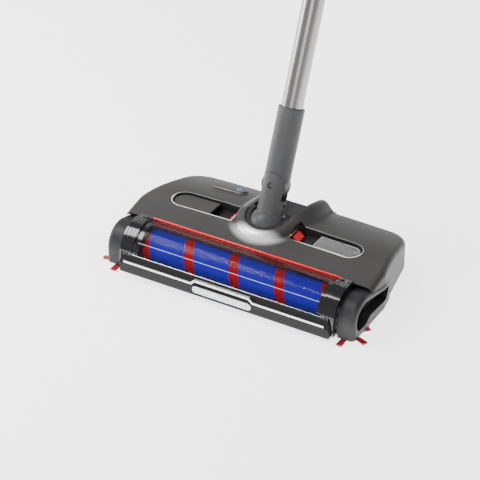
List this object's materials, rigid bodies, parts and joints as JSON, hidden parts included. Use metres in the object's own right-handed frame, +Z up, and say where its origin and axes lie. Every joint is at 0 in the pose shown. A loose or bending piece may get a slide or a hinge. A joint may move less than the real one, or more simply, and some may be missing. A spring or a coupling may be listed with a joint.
{
  "type": "carpet sweeper",
  "caption": "Cordless carpet sweeper: wide head with a clear-windowed brush roller, corner brushes, lamp, tilting neck and a long metal handle.",
  "frame": {"origin": "on the floor straight below the neck's pivot", "axes": "+X to the head's right side seen from behind the front, -Y towards the front of the head, +Z up"},
  "size_m": [0.3796, 0.5554, 1.0822],
  "materials": {
    "cover_grey": "satin moulded plastic with a fine metallic fleck",
    "dark_grey": "matt moulded plastic",
    "black_gloss": "glossy black plastic",
    "neck_grey": "satin dark grey plastic",
    "silver_trim": "bright plated trim",
    "clear_window": "clear, faintly smoked",
    "red_gloss": "bright red glossy plastic",
    "red_band": "dark red translucent",
    "blue_pile": "short dense blue pile",
    "red_bristle": "red nylon bristle",
    "lamp_lens": "frosted white",
    "pole_tube": "brushed metal",
    "steel_part": "ground steel",
    "silver_mesh": "satin silver",
    "rubber_black": "black rubber",
    "board_green": "circuit board",
    "battery_wrap": "shrink-wrapped metal cells",
    "blue_button": "glossy blue"
  },
  "bodies": {
    "head": {"base_pan": "dark_grey", "top_cover": "cover_grey", "front_bumper": "cover_grey", "bumper_trim": "silver_trim", "headlight_lens": "lamp_lens", "headlight_board": "board_green", "collar_ring": "dark_grey", "trough_liner": "dark_grey", "recess_rims": "silver_trim", "recess_trays": "dark_grey", "pad_insert": "cover_grey", "mesh_grille": "silver_mesh", "power_pad": "cover_grey", "end_cap_left": "dark_grey", "end_cap_right": "dark_grey", "red_strip": "red_gloss", "window_band": "red_band", "roller_bushes": "black_gloss", "battery_pack": "battery_wrap", "motor_body": "steel_part", "control_board": "board_green", "charging_socket": "black_gloss", "drive_belt": "rubber_black", "pivot_blocks": "dark_grey", "side_brush_motors": "steel_part", "wheel_axles": "steel_part", "base_screws": "steel_part", "front_glides": "rubber_black", "corner_bracket_left": "black_gloss", "corner_bracket_right": "black_gloss", "latch_springs": "steel_part"},
    "window": {"clear_cover": "clear_window", "cover_lug_left": "black_gloss", "cover_lug_right": "black_gloss"},
    "roller": {"roller_core": "black_gloss", "roller_pile": "blue_pile", "roller_pulley": "black_gloss"},
    "rotor": {"motor_shaft": "steel_part"},
    "side_brush_left": {"side_brush_hub_left": "black_gloss", "side_brush_tufts_left": "red_bristle"},
    "side_brush_right": {"side_brush_hub_right": "black_gloss", "side_brush_tufts_right": "red_bristle"},
    "latch_left": {"latch_slider_left": "red_gloss"},
    "latch_right": {"latch_slider_right": "red_gloss"},
    "power": {"power_button": "blue_button"},
    "door_left": {"dust_door_left": "dark_grey"},
    "door_right": {"dust_door_right": "dark_grey"},
    "wheel_left": {"rear_wheel_left": "black_gloss", "rear_tyre_left": "rubber_black"},
    "wheel_right": {"rear_wheel_right": "black_gloss", "rear_tyre_right": "rubber_black"},
    "yoke": {"yoke": "neck_grey", "pivot_pin": "steel_part", "neck_heel": "dark_grey"},
    "wand": {"neck_socket": "neck_grey", "roll_pin": "neck_grey", "pole_lower": "pole_tube", "pole_coupler": "dark_grey", "pole_upper": "pole_tube", "grip": "dark_grey"}
  },
  "joints": [
    {"name": "neck_pitch", "type": "hinge", "parent": "head", "child": "yoke", "pos_m": [0, 0, 0.06], "axis": [1, 0, 0], "range_deg": [-52, 22.8]},
    {"name": "neck_swing", "type": "hinge", "parent": "yoke", "child": "wand", "pos_m": [0, 0.02093, 0.10978], "axis": [0, -0.9219, 0.3875], "range_deg": [-40, 40]},
    {"name": "window_open", "type": "hinge", "parent": "head", "child": "window", "pos_m": [0, -0.0621, 0.0606], "axis": [-1, 0, 0], "range_deg": [0, 75]},
    {"name": "roller_spin", "type": "hinge", "parent": "head", "child": "roller", "pos_m": [0, -0.074, 0.0275], "axis": [1, 0, 0], "continuous": true},
    {"name": "motor_spin", "type": "hinge", "parent": "head", "child": "rotor", "pos_m": [0, 0.04, 0.022], "axis": [1, 0, 0], "continuous": true},
    {"name": "side_brush_left_spin", "type": "hinge", "parent": "head", "child": "side_brush_left", "pos_m": [-0.161, -0.084, 0.004], "axis": [0, 0, 1], "continuous": true},
    {"name": "side_brush_right_spin", "type": "hinge", "parent": "head", "child": "side_brush_right", "pos_m": [0.161, -0.084, 0.004], "axis": [0, 0, 1], "continuous": true},
    {"name": "latch_left_slide", "type": "slide", "parent": "head", "child": "latch_left", "axis": [-1, 0, 0], "range_m": [0, 0.0035], "stiffness_N_per_m": 300, "springref_m": -0.001},
    {"name": "latch_right_slide", "type": "slide", "parent": "head", "child": "latch_right", "axis": [1, 0, 0], "range_m": [0, 0.0035], "stiffness_N_per_m": 300, "springref_m": -0.001},
    {"name": "power_press", "type": "slide", "parent": "head", "child": "power", "axis": [0, -0.2756, -0.9613], "range_m": [0, 0.0015], "stiffness_N_per_m": 300, "springref_m": -0.001},
    {"name": "door_left_open", "type": "hinge", "parent": "head", "child": "door_left", "pos_m": [0, 0.0116, 0.0054], "axis": [1, 0, 0], "range_deg": [0, 70]},
    {"name": "door_right_open", "type": "hinge", "parent": "head", "child": "door_right", "pos_m": [0, 0.0116, 0.0054], "axis": [1, 0, 0], "range_deg": [0, 70]},
    {"name": "wheel_left_spin", "type": "hinge", "parent": "head", "child": "wheel_left", "pos_m": [-0.12, 0.074, 0.01], "axis": [1, 0, 0], "continuous": true},
    {"name": "wheel_right_spin", "type": "hinge", "parent": "head", "child": "wheel_right", "pos_m": [0.12, 0.074, 0.01], "axis": [1, 0, 0], "continuous": true}
  ],
  "couplings": [
    {"joint": "motor_spin", "follows": "roller_spin", "ratio": 2}
  ]
}
